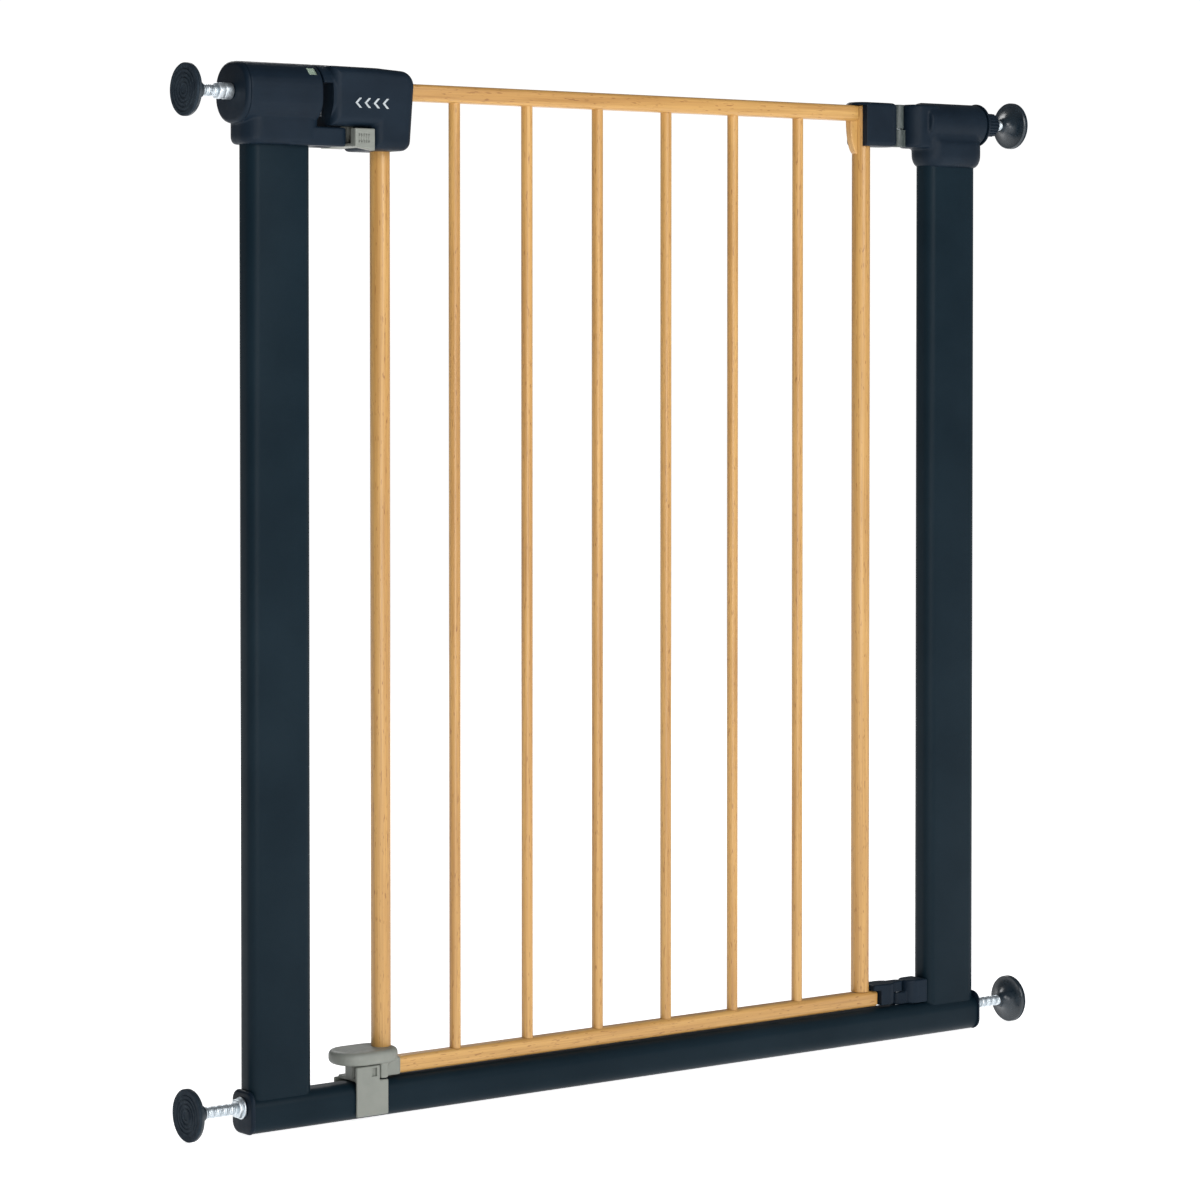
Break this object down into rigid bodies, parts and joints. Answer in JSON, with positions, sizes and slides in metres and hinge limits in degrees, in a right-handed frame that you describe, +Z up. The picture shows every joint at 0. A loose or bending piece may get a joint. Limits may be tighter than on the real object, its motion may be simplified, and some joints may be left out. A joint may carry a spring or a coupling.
{
  "type": "pressure-fit safety gate",
  "caption": "Pressure-fit safety gate: steel U-frame with four screw-out wall pads and a barred door that lifts, swings both ways and latches at top and foot.",
  "frame": {"origin": "on the floor, midway between the walls, in the middle of the gate's depth", "axes": "+X to the right seen from the front, along the gate's width; +Y away from the front; +Z up"},
  "size_m": [0.763, 0.044, 0.73],
  "materials": {
    "slate_paint": "satin powder coat",
    "black_plastic": "fine moulded texture",
    "beech_finish": "beech-grain coating, satin",
    "grey_plastic": "moulded",
    "zinc": "zinc plated",
    "dark_rubber": "matt",
    "green_plastic": "glossy",
    "clear_plastic": "clear",
    "spring_steel": "plain"
  },
  "bodies": {
    "frame": {"crossbar": "slate_paint", "left_upright": "slate_paint", "right_upright": "slate_paint", "left_end_plug": "black_plastic", "right_end_plug": "black_plastic", "latch_housing": "black_plastic", "latch_housing_cap": "black_plastic", "indicator_window": "clear_plastic", "hinge_housing": "black_plastic", "hinge_housing_cap": "black_plastic", "latch_housing_screw": "zinc", "hinge_housing_screw": "zinc", "lower_hinge_bracket": "black_plastic", "lower_bracket_screw": "zinc", "catch_saddle": "grey_plastic", "catch_spring": "spring_steel"},
    "hinge_pins": {"upper_hinge_pin": "zinc", "lower_hinge_pin": "zinc"},
    "door": {"left_stile": "beech_finish", "right_stile": "beech_finish", "top_rail": "beech_finish", "bottom_rail": "beech_finish", "bar_1": "beech_finish", "bar_2": "beech_finish", "bar_3": "beech_finish", "bar_4": "beech_finish", "bar_5": "beech_finish", "bar_6": "beech_finish", "corner_gusset": "beech_finish", "handle_front": "black_plastic", "handle_rear": "black_plastic", "handle_screw_1": "zinc", "handle_screw_2": "zinc", "door_shoe": "grey_plastic", "shoe_screw": "zinc", "upper_hinge_block": "black_plastic", "lower_hinge_block": "black_plastic", "latch_spring": "spring_steel"},
    "latch": {"thumb_slide": "grey_plastic", "latch_bolt": "zinc"},
    "catch": {"catch_bolt": "zinc"},
    "indicator": {"indicator_flag": "green_plastic"},
    "nut_top_left": {"top_left_nut": "zinc"},
    "spindle_top_left": {"top_left_spindle": "zinc", "top_left_pad": "black_plastic", "top_left_pad_face": "dark_rubber"},
    "nut_bottom_left": {"bottom_left_nut": "zinc"},
    "spindle_bottom_left": {"bottom_left_spindle": "zinc", "bottom_left_pad": "black_plastic", "bottom_left_pad_face": "dark_rubber"},
    "nut_top_right": {"top_right_nut": "black_plastic"},
    "spindle_top_right": {"top_right_spindle": "zinc", "top_right_pad": "black_plastic", "top_right_pad_face": "dark_rubber"},
    "nut_bottom_right": {"bottom_right_nut": "zinc"},
    "spindle_bottom_right": {"bottom_right_spindle": "zinc", "bottom_right_pad": "black_plastic", "bottom_right_pad_face": "dark_rubber"}
  },
  "joints": [
    {"name": "door_lift", "type": "slide", "parent": "frame", "child": "hinge_pins", "axis": [0, 0, 1], "range_m": [0, 0.012]},
    {"name": "door_swing", "type": "hinge", "parent": "hinge_pins", "child": "door", "pos_m": [0.26, 0, 0.7], "axis": [0, 0, 1], "range_deg": [-90, 90]},
    {"name": "latch_slide", "type": "slide", "parent": "door", "child": "latch", "axis": [-1, 0, 0], "range_m": [0, 0.014]},
    {"name": "bottom_catch", "type": "slide", "parent": "frame", "child": "catch", "axis": [1, 0, 0], "range_m": [0, 0.005]},
    {"name": "indicator_slide", "type": "slide", "parent": "frame", "child": "indicator", "axis": [1, 0, 0], "range_m": [-0.002, 0.002], "stiffness_N_per_m": 50},
    {"name": "top_left_spindle_slide", "type": "slide", "parent": "frame", "child": "spindle_top_left", "axis": [-1, 0, 0], "range_m": [-0.011, 0.016]},
    {"name": "top_left_nut_turn", "type": "hinge", "parent": "frame", "child": "nut_top_left", "pos_m": [-0.34, 0, 0.7095], "axis": [-1, 0, 0], "range_deg": [-3170, 4610]},
    {"name": "bottom_left_spindle_slide", "type": "slide", "parent": "frame", "child": "spindle_bottom_left", "axis": [-1, 0, 0], "range_m": [-0.011, 0.016]},
    {"name": "bottom_left_nut_turn", "type": "hinge", "parent": "frame", "child": "nut_bottom_left", "pos_m": [-0.34, 0, 0.018], "axis": [-1, 0, 0], "range_deg": [-3170, 4610]},
    {"name": "top_right_spindle_slide", "type": "slide", "parent": "frame", "child": "spindle_top_right", "axis": [1, 0, 0], "range_m": [-0.007, 0.016]},
    {"name": "top_right_nut_turn", "type": "hinge", "parent": "frame", "child": "nut_top_right", "pos_m": [0.34, 0, 0.7095], "axis": [1, 0, 0], "range_deg": [-2018, 4610]},
    {"name": "bottom_right_spindle_slide", "type": "slide", "parent": "frame", "child": "spindle_bottom_right", "axis": [1, 0, 0], "range_m": [-0.007, 0.016]},
    {"name": "bottom_right_nut_turn", "type": "hinge", "parent": "frame", "child": "nut_bottom_right", "pos_m": [0.34, 0, 0.018], "axis": [1, 0, 0], "range_deg": [-2018, 4610]}
  ],
  "couplings": [
    {"joint": "top_left_nut_turn", "follows": "top_left_spindle_slide", "rad_per_m": 5026.5},
    {"joint": "bottom_left_nut_turn", "follows": "bottom_left_spindle_slide", "rad_per_m": 5026.5},
    {"joint": "top_right_nut_turn", "follows": "top_right_spindle_slide", "rad_per_m": 5026.5},
    {"joint": "bottom_right_nut_turn", "follows": "bottom_right_spindle_slide", "rad_per_m": 5026.5}
  ]
}
